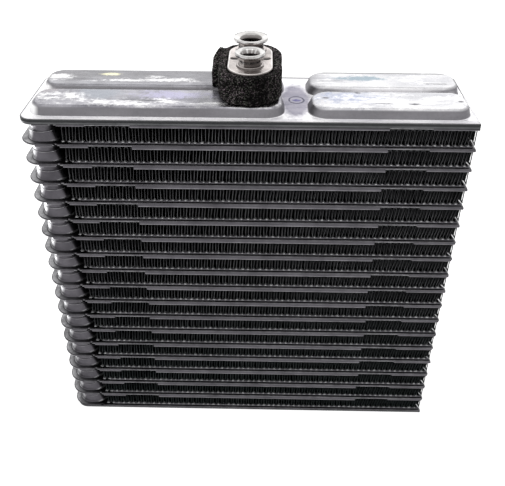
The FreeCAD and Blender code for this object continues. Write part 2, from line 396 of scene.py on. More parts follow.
def cover_walls(f):
    """Colour of the drawn walls, darker than the crowns as painted shade. Painted light makes the walls
    between the pans and the low valley between the ducts paler, and the left end of the ducts near
    white as a painted highlight.
    """
    stains = f.ramp(f.noise(80, 5, 0.6, (0.4, 1, 1)), 0.35, 0.7)
    # Walls darker than the crowns: painted shade.
    drawn = f.mix(stains, (0.25, 0.243, 0.26), (0.18, 0.175, 0.188))
    # Painted light: the walls between the pans are paler.
    pan_wall = f.spot(80, 1.5, 30, 4, 0.3, 0.1)
    drawn = f.mix(f.times(pan_wall, 0.9), drawn, (0.8, 0.79, 0.81))
    # Painted light: the low valley between the ducts is paler.
    valley = f.times(f.between("Y", 5.5, 3.5), f.between("Y", -3, 0))
    low_down = f.between("Z", cover_top - 0.8, cover_flange_top + 1.2)
    drawn = f.mix(f.times(valley, f.minus(low_down, pan_wall, True)), drawn, (0.6, 0.59, 0.61))
    # Painted highlight: the ducts' left ends are near white.
    left_end = f.times(f.ramp(f.parts("Normal")["X"], -0.3, -0.6), f.between("X", -100, -105))
    return f.mix(left_end, drawn, (0.95, 0.945, 0.95))


def cover_finish():
    """Pale rolled sheet, its pale crowns and its darker, dull drawn walls partly painted light, with a
    dark cut edge, partly painted shade, scuffs, painted shade along the rear, a painted shadow of the
    seal, and a plain inked ring.
    """
    f = Finish("cover_sheet")
    to_pans = f.between("X", 30, 45)
    streaks = f.ramp(f.noise(60, 8, 0.7, (0.6, 1.6, 1)), 0.4, 0.62)
    shine = f.noise(95, 8, 0.72, (0.5, 1.4, 1))
    tone = {place: f.mix(streaks, *pair) for place, pair in cover_tones_with_painted_light.items()}
    steep = f.steep()
    colour = f.mix(steep, cover_crown(f, tone, to_pans, shine), cover_walls(f))
    high_up = f.between("Z", cover_top - 2.5, cover_top - 1.5)
    # Painted shade: a dark line along the rear edge of the sheet.
    colour = f.mix(f.between("Y", rear - 2.0, rear - 1.8), colour, (0.05, 0.05, 0.055))
    # Painted shade along the rear shoulders of the pans.
    rear_painted_shade = f.times(f.between("Y", rear - 8.6, rear - 6.9, 0, 0.85), to_pans)
    rear_painted_shade = f.times(rear_painted_shade, f.times(high_up, f.ramp(shine, 0.35, 0.45, 0.4, 1)))
    colour = f.mix(rear_painted_shade, colour, (0.09, 0.09, 0.095))
    # Dark scuffs, and a painted shadow of the foam seal on the rear duct.
    for *oval, depth in scuffs_and_painted_shadow:
        dark_oval = f.times(f.spot(*oval, 0.35, 0.5), f.times(high_up, depth))
        colour = f.mix(dark_oval, colour, (0.07, 0.068, 0.08))
    # Marks below 0: a dark cut edge, partly painted shade, and a painted dark line on the flange at the
    # left end.
    colour = f.mix(f.ramp(f.wear_and_painted_light(), 0, -1), colour, (0.115, 0.118, 0.122))
    chalky = f.times(f.spot(-22, -13, 9, 15, 0.5), f.minus(high_up, steep, True))
    grain = f.noise(900, 3, 0.6)
    front_strip = f.times(f.between("Z", cover_flange_top + 0.6, cover_flange_top + 0.3),
                          f.between("Y", front + 5, front + 4, 0.2, 0.55))
    rough = f.plus(f.plus(f.ramp(grain, 0.3, 0.7, 0.2, 0.36), f.times(steep, 0.25)), front_strip)
    normal = f.bump(f.noise(95, 4, 0.6, (0.7, 1.5, 1)), 1.0, 0.0003, f.bump(grain, 0.25, 0.00004))
    return f.shade({"Base Color": colour, "Metallic": f.ramp(chalky, 0, 1, 1, 0.3), "Roughness": rough,
                    "Normal": normal})


cover_metal = cover_finish()

# %% Finish of the foam


def foam_finish():
    """Black open-cell foam: dark pits between thin struts, with painted highlights on some of them."""
    f = Finish("seal_foam")
    cells = f.add("ShaderNodeTexVoronoi", {"Vector": f.where, "Scale": 1350}, None)
    lot = f.add("ShaderNodeSeparateColor", (cells["Color"],), None)
    struts = f.ramp(cells["Distance"], 0.2, 0.7, 1, 0)
    tufts = f.ramp(f.noise(300, 3, 0.7), 0.4, 0.6, 0.5, 1)
    # Dimmer specks at the front, around x 8.
    low_front_patch = f.ramp(f.spot(8, -28, 13, 14, 0.8), 0, 1, 1, 0.15)
    # Painted highlights: bright specks on some cells.
    lit = f.times(f.times(f.ramp(lot[0], 0.4, 0.95, 0.08, 1), tufts), low_front_patch)
    tint = f.mix(lot[1], (0.72, 0.55, 0.64), (0.5, 0.56, 0.44))
    colour = f.mix(f.times(lit, struts), (0.004, 0.004, 0.004), tint)
    return f.shade({"Base Color": colour, "Roughness": 0.8, "Specular IOR Level": 0.02,
                    "Normal": f.bump(struts, 0.8, 0.0003)})


foam_black = foam_finish()
print("Finishes made:", len(bpy.data.materials))

# %% [markdown]
# ## Building skins
# A pressed sheet is a stack of outlines: flange, foot fillet, drafted wall, shoulder fillet and
# crown. Outlines with the same number of points can be bridged with quads. This class collects
# rings, bridges and flat caps into one closed surface.

# %% The skin class


class Skin:
    """Points and faces of closed surfaces, in millimetres, with a mark of wear and painted light for
    each point.
    """

    def __init__(self):
        self.points, self.faces, self.wear_and_painted_light = [], [], []

    def ring(self, loop, z, wear_and_painted_light=0.0):
        """Adds an outline at height z and returns the numbers of its points."""
        return self.path([(x, y, z) for x, y in loop], wear_and_painted_light)

    def path(self, points, wear_and_painted_light=0.0):
        """Adds points given in space and returns their numbers. The mark of wear and painted light is one
        value, or one for each point.
        """
        first = len(self.points)
        self.points += [tuple(p) for p in points]
        self.wear_and_painted_light += list(wear_and_painted_light) if isinstance(wear_and_painted_light, list) else [wear_and_painted_light] * len(points)
        return list(range(first, len(self.points)))

    def bridge(self, a, b):
        for i in range(len(a)):
            j = (i + 1) % len(a)
            self.faces.append((a[i], a[j], b[j], b[i]))

    def stack(self, rings):
        for a, b in zip(rings, rings[1:]):
            self.bridge(a, b)

    def cap(self, *rings):
        """Flat face inside the first ring, with the other rings as holes."""
        flat = [i for ring in rings for i in ring]
        loops = [[Vector(self.points[i]) for i in ring] for ring in rings]
        for triangle in tessellate_polygon(loops):
            self.faces.append(tuple(flat[i] for i in triangle))

    def bar(self, slices):
        """Bridges the slices of a bar and closes both its ends."""
        self.stack(slices)
        self.faces += [tuple(slices[0]), tuple(reversed(slices[-1]))]

    def pressing(self, walls):
        """Walls with a flat crown on the last ring. Returns the first, a hole for the sheet."""
        self.stack(walls)
        self.cap(walls[-1])
        return walls[0]


def as_mesh(name, skin, smooth_angle=34):
    """Mesh in metres with merged doubles, outward normals and sharp edges kept."""
    mesh = bpy.data.meshes.new(name)
    mesh.from_pydata([tuple(c * MM for c in p) for p in skin.points], [], skin.faces)
    mesh.attributes.new("wear_and_painted_light", "FLOAT", "POINT").data.foreach_set("value", skin.wear_and_painted_light)
    work = bmesh.new()
    work.from_mesh(mesh)
    bmesh.ops.remove_doubles(work, verts=work.verts, dist=0.000002)
    bmesh.ops.recalc_face_normals(work, faces=work.faces)
    work.to_mesh(mesh)
    work.free()
    mesh.shade_smooth()
    mesh.set_sharp_from_angle(angle=math.radians(smooth_angle))
    return mesh


added = {}


def set_piece(name, mesh, material, slot, *nodes):
    """Puts a mesh in the scene as a piece that stands for its solids."""
    mesh.materials.clear()
    mesh.materials.append(material)
    piece = put(name, mesh)
    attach(piece, "root")
    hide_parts(*nodes)
    added[name] = sum(len(face.vertices) - 2 for face in mesh.polygons)
    return piece


def settled(carrier):
    """Plain mesh of an object with its modifiers applied. The object itself goes."""
    carrier.update_tag()
    mesh = bpy.data.meshes.new_from_object(carrier.evaluated_get(bpy.context.evaluated_depsgraph_get()))
    bpy.data.objects.remove(carrier)
    return mesh


# %% [markdown]
# Outlines come from one function: a rectangle whose four corners have their own radii, so a tank
# drum is one too. An inset moves every side in, and a longer run turns one wall into a ramp.

# %% Outlines and pressed profiles


def arc(x, y, radius, start, end, steps):
    """Points along an arc, its angles in degrees."""
    turns = [math.radians(start + (end - start) * i / steps) for i in range(steps + 1)]
    return [(x + radius * math.cos(t), y + radius * math.sin(t)) for t in turns]


def outline(x0, x1, y0, y1, radii, inset=0.0, ramp=0.0, steps=7, start_ramp=0.0):
    """Rounded rectangle, counter-clockwise. Radii belong to (x0,y0), (x1,y0), (x1,y1), (x0,y1)."""
    a, b = x0 + inset + start_ramp * max(inset, 0.0), x1 - inset - ramp * max(inset, 0.0)
    c, d = y0 + inset, y1 - inset
    largest = min(b - a, d - c) / 2
    corners = ((a, c, 1, 1, 180), (b, c, -1, 1, 270), (b, d, -1, -1, 0), (a, d, 1, -1, 90))
    loop = []
    for (x, y, sx, sy, start), radius in zip(corners, radii):
        r = min(max(radius - inset, 0.05), largest - 0.001)
        loop += arc(x + sx * r, y + sy * r, r, start, start + 90, steps)
    return loop


def pressed_profile(height, draft, foot, shoulder, steps=4, rest=0.4):
    """(inset, height) pairs up a pressed wall: foot fillet, drafted wall, shoulder fillet."""
    slope = math.atan2(height, draft)
    foot_run, shoulder_run = (radius * math.tan(slope / 2) for radius in (foot, shoulder))
    lean = math.degrees(slope)
    return [(-foot_run - rest, 0.0), *arc(-foot_run, foot, foot, -90, lean - 90, steps),
            *arc(draft + shoulder_run, height - shoulder, shoulder, 90 + lean, 90, steps),
            (draft + shoulder_run + rest, height)]


def offset_loop(loop, distance):
    """The outline moved inwards by distance, corner by corner."""
    spots = np.array(loop, float)
    steps = np.roll(spots, -1, axis=0) - spots
    steps /= np.linalg.norm(steps, axis=1)[:, None]
    both = np.roll(steps, 1, axis=0) + steps
    normals = np.stack([-both[:, 1], both[:, 0]], axis=1)
    reach = 2.0 / np.maximum((normals ** 2).sum(axis=1), 0.5)
    return [tuple(p) for p in spots + normals * (distance * reach)[:, None]]


def plate_outline(corner=8.0, edge=0.0, start=left):
    """Outline of the core's plates: round at the tank end, square at the far end."""
    return outline(start, right, front + edge, rear - edge, (corner, 0.4, 0.4, corner), edge)


def clamped(value):
    return min(max(value, 0.0), 1.0)


# %% [markdown]
# ## Flat tubes
# A flat tube is two pressed half plates, brazed rim to rim. Each half has a shallow tray for the
# fins and, at the left, a cup for each tank. The cups of neighbouring tubes meet halfway, which
# gives the ribbed look of the tank end. One edge of the rim is bent over in short lips. The halves
# are the same part turned over, so the upper half has its lips at the rear.

# %% One half plate
sheet = 0.5
tray_rise = 0.9
tray_span = (-101.6, right - 1.1)
tray_side = 1.8
tray_radii = (5.0, 1.2, 1.2, 5.0)
cup_left = left + 1.7
cup_right = -105.4
cup_from_rim = 2.9
cup_tip_margin = 3.1
cup_partition = 4.2
cup_radius, cup_inner_radius = 8.5, 2.2
cup_ramp = 2.0
tank_corner = 11.0
notch_at, notch_width, notch_depth = 18.8, 1.8, 1.1
rim_edge = 0.12
rim_bevels = ((0.22, 0.02), (0.03, 0.13), (0.0, 0.24), (0.05, sheet - 0.1), (0.2, sheet), (0.55, sheet),
              (0.8, sheet))
# Marks on the rim's rings, along the fins and round the tank end, for an upper and a lower half:
# a dark joint at the seam, painted highlights on the lower half's edge and painted shade on the
# upper half's edge, strongest at the tank end, where the flange beside the drums gets painted light.
rim_painted_light = {1: (-0.35, -0.25, -0.1, 0.1, 0.25, 0.25, 0.25), -1: (-0.35, 0.3, 0.6, 0.75, 0.5, 0.0, 0.0)}
tank_end_painted_light = {1: (-0.8, -0.3, 0.3, -0.9, -0.9, 0.5, 0.5), -1: (-0.8, 0.2, 0.6, 0.6, 0.3, 0.0, 0.0)}


def notched_rim(jitter, start, corner):
    """Rim outline with its front notch, and the rear one that mirrors it."""
    loop = plate_outline(corner, rim_edge, start)
    x = left + notch_at + jitter
    y = front + rim_edge
    cut = [(x - notch_width / 2, y), (x - notch_width / 3, y + notch_depth),
           (x + notch_width / 3, y + notch_depth), (x + notch_width / 2, y)]
    mirrored = [(px, -py) for px, py in reversed(cut)]
    quarter = len(loop) // 4
    return loop[:quarter] + cut + loop[quarter:3 * quarter] + mirrored + loop[3 * quarter:]


def cup_profile(reach):
    """Up a cup's wall: foot fillet, drafted wall, and the small flare at the brazed seam."""
    foot = pressed_profile(reach, 0.8, 1.0, 0.1, 5, 0.12)[:7]
    flare = ((0.72, 0.62), (0.6, 0.4), (0.42, 0.26), (0.42, 0.0), (1.0, 0.0))
    return foot + [(inset, reach - drop) for inset, drop in flare]


def cup_painted_light(loop, height, reach, side):
    """Painted light for one ring of a cup: a painted highlight down the outer flank, at the seam and
    along the foot at the inner end, painted light on the flange beside the drum, painted shade in the
    foot fillet, and painted shade that grows up the drum."""
    up_drum = height / reach / 2 if side > 0 else 1 - height / reach / 2
    streak = 1.1 + 3.6 * up_drum
    at_seam = side > 0 and reach - 0.5 < height < reach + 0.01
    at_foot = side > 0 and 0.02 < height < 0.75
    marks = []
    for x, y in loop:
        across = 0.936 * (x - cup_left - 0.5) - 0.35 * (abs(y) - 23.5)
        flank = clamped((streak - across) / 0.9)
        inner = clamped((x - cup_right + 5.0) / 5.0)
        seam = 0.4 + 0.5 * inner if at_seam else 0.0
        foot = 0.9 * inner if at_foot else 0.0
        if side > 0 and 0.01 < height < 0.3 and inner < 0.05:
            marks.append(-0.5)
        elif side > 0 and height < 0.01 and x < cup_left + 6:
            marks.append(0.3)
        elif max(seam, foot, flank) > 0.05:
            marks.append(max(seam, foot, 0.95 * flank))
        else:
            marks.append(-0.1 - 0.3 * up_drum)
    return marks


def half_plate(skin, plane, side, jitter=0.0, start=tank_left, corner=tank_corner):
    """Adds a half plate whose outer face looks along side (1 up, -1 down)."""
    rim = notched_rim(jitter, start, corner)
    cup_start = max(cup_left, start + cup_from_rim)
    rings = []
    for (inset, height), wear_and_painted_light, tank in zip(rim_bevels, rim_painted_light[side], tank_end_painted_light[side]):
        loop = offset_loop(rim, inset)
        marks = [tank if x < left + 8 else wear_and_painted_light for x, y in loop]
        rings.append(skin.ring(loop, plane + side * height, marks))
    skin.stack(rings)
    skin.cap(rings[0])

    # The tray's walls carry a mark of -0.35: painted shade.
    tray = [skin.ring(outline(*tray_span, front + tray_side, rear - tray_side, tray_radii, inset),
                      plane + side * (sheet + height), -0.35)
            for inset, height in pressed_profile(tray_rise, 0.45, 0.3, 0.4, 3, 0.1)]
    holes = [skin.pressing(tray)]

    reach = tube_pitch / 2 - sheet - 0.01
    profile = cup_profile(reach)
    for end in (-1, 1):
        y0, y1 = sorted((end * (rear - cup_tip_margin), end * cup_partition / 2))
        radii = (cup_radius, cup_radius, cup_inner_radius, cup_inner_radius)[::-end]
        walls = []
        for inset, height in profile:
            ramp = cup_ramp * clamped(1 - height / (0.55 * reach))
            loop = outline(cup_start, cup_right + ramp, y0, y1, radii, inset, 0.0, 11)
            wear_and_painted_light = cup_painted_light(loop, height, reach, side)
            walls.append(skin.ring(loop, plane + side * (sheet + height), wear_and_painted_light))
        holes.append(skin.pressing(walls))
    skin.cap(rings[-1], *holes)


# %% Bent lips along the rim
lip_spans = ((7.5, 16.8, 1.3), (21.2, 37.2, 1.6), (61.0, 201.5, 2.2), (225.0, 249.8, 1.4))
# Marks on the lip's section: painted highlights on the roll and along the lower edge, painted shade between
# them and inside.
lip_painted_light = [0.2, 0.3, 0.3, 0.0, -0.4, -0.5, -0.35, 0.4, 0.75, 0.3, -0.5, -0.5, 0, 0]
roll_radius = 0.5


def lips(skin, plane, side, random, share=1.0):
    """Adds the lips: the rim's edge rolled over, away from the joint. Side 1 is at the rear."""
    for from_left, to_right, full_drop in lip_spans:
        shift = random.uniform(-0.8, 0.8, 2)
        x0, x1 = left + from_left + shift[0] * 0.3, min(left + to_right + shift[1], right)
        drop = full_drop * share
        section = arc(roll_radius, 0.53, roll_radius, 270, 180, 5)
        section += [(0.0, drop * 0.55), (0.0, drop - 0.15), (0.12, drop), (0.42, drop),
                    (0.5, drop - 0.2), (0.52, 0.75), (0.9, 0.5), (0.9, 0.03)]
        ends = ((x0, 0.25), (x0 + 0.3, 0.0), (x1 - 0.3, 0.0), (x1, 0.25))
        skin.bar([skin.path([(x, side * (rear - run), plane + side * min(height, drop - shrink))
                             for run, height in section], lip_painted_light) for x, shrink in ends])


# %% All the tubes and end plates
for number in range(1, tube_count + 1):
    random = np.random.default_rng(100 + number)
    plane = top_plane - number * tube_pitch
    skin = Skin()
    for side in (-1, 1):
        half_plate(skin, plane, side, random.uniform(-0.3, 0.3))
        lips(skin, plane, side, random)
    name = "tube_%02d" % number
    set_piece(name, as_mesh(name, skin), tube_metal, "tube_sheet", "flat_tube_%02d" % number)

for name, node, plane, side, shape, seed, share in (
        ("top_end_plate", "end_plate_top", top_plane, -1, (0.0, left, 8.0), 100, 0.7),
        ("bottom_end_plate", "end_plate_bottom", base_plane, 1, (), 99, 1.0)):
    skin = Skin()
    half_plate(skin, plane, side, *shape)
    lips(skin, plane, side, np.random.default_rng(seed), share)
    set_piece(name, as_mesh(name, skin), tube_metal, "tube_sheet", node)
print("Triangles in a tube:", added["tube_05"])

# %% [markdown]
# ## Fins
# Each fin is a long strip of thin sheet, folded into hairpins, with louvres pressed into its walls
# and a bead of braze on each foot. There are over a thousand folds, so Geometry Nodes lays them
# from three small meshes: a hairpin, the louvres of one wall, and a bead. The cut end at the right
# comes once in a strip, so plain mesh code adds it: a last louvred wall and a bent leg.

# %% Sizes of the strip
fin_low, fin_high = span("fin_strip_01")
fin_start, fin_end = fin_low[0] + 1.2, fin_high[0]
fin_height = fin_high[2] - fin_low[2]
fin_depth = fin_high[1] - fin_low[1]
half_depth = fin_depth / 2
fold_count = 62
fold_pitch = (fin_end - fin_start) / fold_count
fin_sheet, crest_sheet, louvre_sheet = 0.17, 0.42, 0.12
crest_radius = 0.98
foot_radius = fold_pitch / 2 - crest_radius
louvre_count, louvre_lift, louvre_share = 4, 0.27, 0.86
frame_depth, frame_middle = 1.3, 2.4
fin_reach = (fin_height - crest_sheet) / 2
wall_low, wall_high = foot_radius - fin_reach, fin_reach - crest_radius
lean_share, crowding = 0.27, 0.0012

# %% One hairpin


def slab(skin, line, thickness, y0, y1, wear_and_painted_light=0.0):
    """Closed strip between two depths, along a line in the XZ plane."""
    spots = np.array(line)
    along = np.gradient(spots, axis=0)
    along /= np.linalg.norm(along, axis=1)[:, None]
    across = np.stack([-along[:, 1], along[:, 0]], axis=1) * thickness / 2
    around = [*(spots + across), *(spots - across)[::-1]]
    near = skin.path([(x, y0, z) for x, z in around], wear_and_painted_light)
    far = skin.path([(x, y1, z) for x, z in around], wear_and_painted_light)
    skin.bridge(near, far)
    for ring, flip in ((near, False), (far, True)):
        for i in range(len(line) - 1):
            quad = (ring[i], ring[i + 1], ring[-2 - i], ring[-1 - i])
            skin.faces.append(quad[::-1] if flip else quad)


def hairpin_mesh():
    """A crest, its two walls as frames round their louvres, and the foot to the next crest."""
    skin = Skin()
    # The crest carries a mark of -0.35: painted shade.
    slab(skin, arc(0, wall_high, crest_radius, 180, 0, 4), crest_sheet, -half_depth, half_depth, -0.35)
    slab(skin, arc(fold_pitch / 2, wall_low, foot_radius, 180, 360, 3), fin_sheet, -half_depth, half_depth)
    for x in (-crest_radius, crest_radius):
        for y0, y1 in ((-half_depth, frame_depth - half_depth), (half_depth - frame_depth, half_depth)):
            slab(skin, [(x, wall_low), (x, wall_high)], fin_sheet, y0, y1)
    return as_mesh("hairpin", skin, 50)


# %% The louvres of one wall


def add_louvres(skin, x0, z0, z1):
    """Slanted slats that run up a wall: one bank turned one way, the other bank the other way."""
    step = (half_depth - frame_depth - frame_middle / 2) / louvre_count
    for side in (-1, 1):
        for i in range(louvre_count):
            y0, y1 = (side * (frame_middle / 2 + n * step) for n in (i, i + louvre_share))
            corners = ((louvre_lift, y0), (louvre_lift + louvre_sheet, y0),
                       (louvre_sheet - louvre_lift, y1), (-louvre_lift, y1))
            low, high = (skin.path([(x0 + x - louvre_sheet / 2, y, z) for x, y in corners])
                         for z in (z0, z1))
            skin.bridge(low, high)
            skin.faces += [tuple(low[::-1]), tuple(high)]


# %% One bead of braze
bead_width, bead_height = 1.25, 1.0
bead_arch = ((-1.0, 0.0), (-0.5, 0.6), (0.0, 1.0), (0.5, 0.6), (1.0, 0.0))
# From the front to the rear: the depth of a slice, and its share of the full size
bead_slices = ((-0.45, 0.55), (0.2, 1.0), (1.6, 0.75))
hairpin, louvres, bead = hairpin_mesh(), Skin(), Skin()
add_louvres(louvres, 0.0, wall_low, wall_high)
# Beads carry a mark of 0.5: brighter braze, with a painted highlight.
bead.bar([bead.path([(bead_width * share * x, y, bead_height * share * z) for x, z in bead_arch], 0.5)
          for y, share in bead_slices])
small_parts = {"Louvres": bpy.data.objects.new("Louvres", as_mesh("louvres", louvres, 30)),
               "Bead": bpy.data.objects.new("Bead", as_mesh("bead", bead, 40))}
print("Faces in a hairpin:", len(hairpin.polygons), "pitch", round(fold_pitch, 3))

# %% [markdown]
# The tree sets the three meshes on a row of points, one for each fold. Then it moves every point
# sideways by two amounts: a lean that grows with the distance from the strip's middle height, and
# a crowding of some folds. Both are noise that each strip reads at its own place, so no two strips
# are the same.

# %% The tree that lays the strip


def fin_tree():
    tree = bpy.data.node_groups.new("lay_strip", "GeometryNodeTree")
    sizes = ("Pitch", "Start", "Limit", "Height", "Crest radius", "Half height", "Half depth", "Lean",
             "Crowding", "Seed")
    for name, kind in (("Hairpin", "Geometry"), ("Louvres", "Object"), ("Bead", "Object"), ("Count", "Int"),
                       *((size, "Float") for size in sizes), ("Finish", "Material")):
        tree.interface.new_socket(name, in_out="INPUT", socket_type="NodeSocket" + kind)
    tree.interface.new_socket("Strip", in_out="OUTPUT", socket_type="NodeSocketGeometry")
    n = Nodes(tree)
    given = n.add("NodeGroupInput", output=None)

    def vector(x, y=0.0, z=0.0):
        return n.add("ShaderNodeCombineXYZ", (x, y, z))

    first_crest = vector(n.plus(given["Start"], given["Crest radius"]), 0.0, given["Height"])
    row = n.add("GeometryNodeMeshLine", {"Count": given["Count"], "Start Location": first_crest,
                                         "Offset": vector(given["Pitch"])})
    together = tree.nodes.new("GeometryNodeJoinGeometry")

    def lay(shape, shift, turned=0.0):
        """Sets a copy of the shape on every point of the row, shifted and turned about Z."""
        moved = n.add("GeometryNodeTransform", {"Geometry": shape, "Translation": shift,
                                                "Rotation": (0.0, 0.0, turned)})
        n.feed(together, (n.add("GeometryNodeInstanceOnPoints", {"Points": row, "Instance": moved}),))

    louvres, bead = (n.add("GeometryNodeObjectInfo", {"Object": given[name]}, "Geometry")
                     for name in ("Louvres", "Bead"))
    foot_x, foot_z = n.times(given["Crest radius"], -0.9), n.times(given["Half height"], -1.0)
    lay(given["Hairpin"], vector(0.0))
    lay(louvres, vector(n.times(given["Crest radius"], -1.0)))
    lay(louvres, vector(given["Crest radius"]))
    lay(bead, vector(foot_x, n.times(given["Half depth"], -1.0), foot_z))
    lay(bead, vector(foot_x, given["Half depth"], foot_z), math.pi)
    real = n.add("GeometryNodeRealizeInstances", (together.outputs[0],))

    def wander(scale, seed_shift):
        """Noise along the strip, from -0.5 to 0.5."""
        along = {"Vector": vector(x, n.plus(given["Seed"], seed_shift)), "Scale": scale, "Detail": 2.0}
        return n.minus(n.add("ShaderNodeTexNoise", along, noise_dimensions="2D"), 0.5)

    place = n.add("ShaderNodeSeparateXYZ", (n.add("GeometryNodeInputPosition"),), None)
    x, height_in_strip = place["X"], n.minus(place["Z"], given["Height"])
    drift = n.plus(n.times(x, 0.3), 0.09)
    lean = n.plus(n.times(wander(22.0, 0.0), 1.0), n.times(wander(270.0, 9.0), 1.3))
    sway = n.times(n.plus(n.times(lean, given["Lean"]), drift), height_in_strip)
    crowd = n.times(wander(130.0, 31.0), given["Crowding"])
    new_x = n.reckon("MINIMUM", n.plus(x, n.plus(sway, crowd)), given["Limit"])
    moved = n.add("GeometryNodeSetPosition", {"Geometry": real, "Offset": vector(n.minus(new_x, x))})
    painted = n.add("GeometryNodeSetMaterial", {"Geometry": moved, "Material": given["Finish"]})
    n.feed(tree.nodes.new("NodeGroupOutput"), (painted,))
    return tree


lay_strip = fin_tree()
socket_of = {item.name: item.identifier for item in lay_strip.interface.items_tree
             if item.in_out == "INPUT"}

# %% The cut end of a strip
tail_inset = 0.3
tail_sheet, tail_frame = 0.2, 0.9


def tail(floor_z, random):
    """A last louvred wall, and in front of it a short leg bent back from the foot."""
    skin = Skin()
    x, low, high, side = fin_end - 0.45, floor_z + 0.3, floor_z + fin_height - 0.1, half_depth - tail_inset
    for z0, z1, y0, y1 in ((low, high, -side, frame_depth - side), (low, high, side - frame_depth, side),
                           (low, high, -frame_middle / 2 + 0.1, frame_middle / 2 - 0.1),
                           (low, low + tail_frame, frame_depth - side, side - frame_depth),
                           (high - tail_frame, high, frame_depth - side, side - frame_depth)):
        slab(skin, [(x, z0), (x, z1)], tail_sheet, y0, y1, 0.1)
    add_louvres(skin, x, low + 0.85, high - 0.85)
    reach = random.uniform(0.5, 1.0)
    leg = [(fin_end - back, floor_z + up)
           for back, up in ((0.6, 0.15), (1.3, 1.3 * reach), (3.1, 3.9 * reach))]
    # The bent leg carries a painted highlight.
    for y in (-half_depth - 0.1, half_depth - 0.5):
        slab(skin, leg, 0.5, y, y + 0.6, random.uniform(0.6, 1.0))
    return as_mesh("tail", skin, 40)


# %% All the strips


def fin_strip(number):
    """One strip, laid by the tree and turned into a plain mesh."""
    low, high = span("fin_strip_%02d" % number)
    carrier = put("carrier", hairpin.copy())
    tree_user = carrier.modifiers.new("lay_strip", "NODES")
    tree_user.node_group = lay_strip
    values = {**small_parts, "Pitch": fold_pitch * MM, "Count": fold_count, "Start": fin_start * MM,
              "Limit": (right - 0.01) * MM, "Height": (low[2] + high[2]) / 2 * MM,
              "Crest radius": crest_radius * MM, "Half height": fin_height / 2 * MM,
              "Half depth": half_depth * MM, "Lean": lean_share, "Crowding": crowding, "Seed": 3.7 * number,
              "Finish": fin_metal}
    for name, value in values.items():
        tree_user[socket_of[name]] = value
    mesh = settled(carrier)
    joined = bmesh.new()
    joined.from_mesh(mesh)
    joined.from_mesh(tail(low[2], np.random.default_rng(200 + number)))
    joined.to_mesh(mesh)
    joined.free()
    return mesh


for number in range(1, tube_count + 2):
    set_piece("fin_%02d" % number, fin_strip(number), fin_metal, "fin_sheet", "fin_strip_%02d" % number)
for part in small_parts.values():
    bpy.data.objects.remove(part)
print("Triangles in a strip:", added["fin_05"])

# %% [markdown]
# ## Side plates and manifold cover
# The side plates are flat. The cover is pressed from one sheet: two ducts lead from the drums to
# the ports, and two pans on the right stiffen it. Its shoulders are round and its walls lean in,
# because a press tool has to let go of the sheet.

# %% Side plates


def flat_plate(name, low_z, high_z, node):
    """Flat sheet with a dark cut edge, partly painted shade. Its bevels are inset, height and the mark
    of wear and painted light.
    """
    skin = Skin()
    bevels = ((0.15, low_z, -0.8), (0.0, low_z + 0.15, -0.4), (0.0, low_z + 0.4, 0.1),
              (0.0, high_z - 0.2, 0.05), (0.2, high_z, -0.8))
    rings = [skin.ring(offset_loop(plate_outline(), inset), z, wear_and_painted_light) for inset, z, wear_and_painted_light in bevels]
    skin.stack(rings)
    skin.cap(rings[0])
    skin.cap(rings[-1])
    set_piece(name, as_mesh(name, skin), plate_metal, "plate_sheet", node)


flat_plate("bottom_side_plate", 0.0, base_plane - 0.02, "side_plate_bottom")
flat_plate("top_side_plate", top_plane + 0.02, core_high[2] - 0.05, "side_plate_top")

# %% Manifold cover
bulge_bands = ((front + 4.6, -0.2), (1.8, rear - 3.0))
duct_span = (left + 4.2, left + 145.2)
pan_span = (right - 91.8, right - 2.8)
bulge_corner, bulge_draft, bulge_foot, bulge_shoulder = 10.0, 1.5, 0.7, 2.4
port_x = 0.8
inlet_y, outlet_y = -8.0, 17.0
inlet_pipe, outlet_pipe = 6.2, 7.2


def circle(x, y, radius, count=48):
    return arc(x, y, radius, 0, 360, count)[:-1]


def manifold_cover():
    skin = Skin()
    low = core_high[2] + 0.03
    # The cut edge is marked dark, partly dull metal and partly painted shade, and a painted dark line runs
    # on the flange at the left end.
    bevels = ((0.12, low, -1), (0.0, low + 0.12, -1), (0.0, cover_flange_top - 0.25, -1),
              (0.3, cover_flange_top - 0.01, -0.8), (0.5, cover_flange_top, 0), (1.1, cover_flange_top, 0))
    rings = []
    for inset, z, wear_and_painted_light in bevels:
        loop = offset_loop(plate_outline(), inset)
        marks = [-1.0 if inset == 0.5 and x < left + 12 else wear_and_painted_light for x, y in loop]
        rings.append(skin.ring(loop, z, marks))
    skin.stack(rings)
    skin.cap(rings[0])
    holes = []
    profile = pressed_profile(cover_top - cover_flange_top, bulge_draft, bulge_foot, bulge_shoulder, 6)
    ports = ((inlet_y, inlet_pipe), (outlet_y, outlet_pipe))
    for (x0, x1), is_pan in ((duct_span, 0), (pan_span, 1)):
        for (y0, y1), (port_y, pipe) in zip(bulge_bands, ports):
            walls = [skin.ring(outline(x0, x1, y0, y1, (bulge_corner,) * 4, inset, 0.3 * (1 - is_pan), 10,
                                       0.85 * is_pan), cover_flange_top + height)
                     for inset, height in profile]
            skin.stack(walls)
            holes.append(walls[0])
            if is_pan:
                skin.cap(walls[-1])
                continue
            mouth, floor_ring = (skin.ring(circle(port_x, port_y, pipe), z)
                                 for z in (cover_top, cover_flange_top + 0.5))
            skin.bridge(mouth, floor_ring)
            skin.cap(floor_ring)
            skin.cap(walls[-1], mouth)
    skin.cap(rings[-1], *holes)
    return as_mesh("cover", skin)


set_piece("cover", manifold_cover(), cover_metal, "cover_sheet", "manifold_cover")
print("Triangles in the cover:", added["cover"])

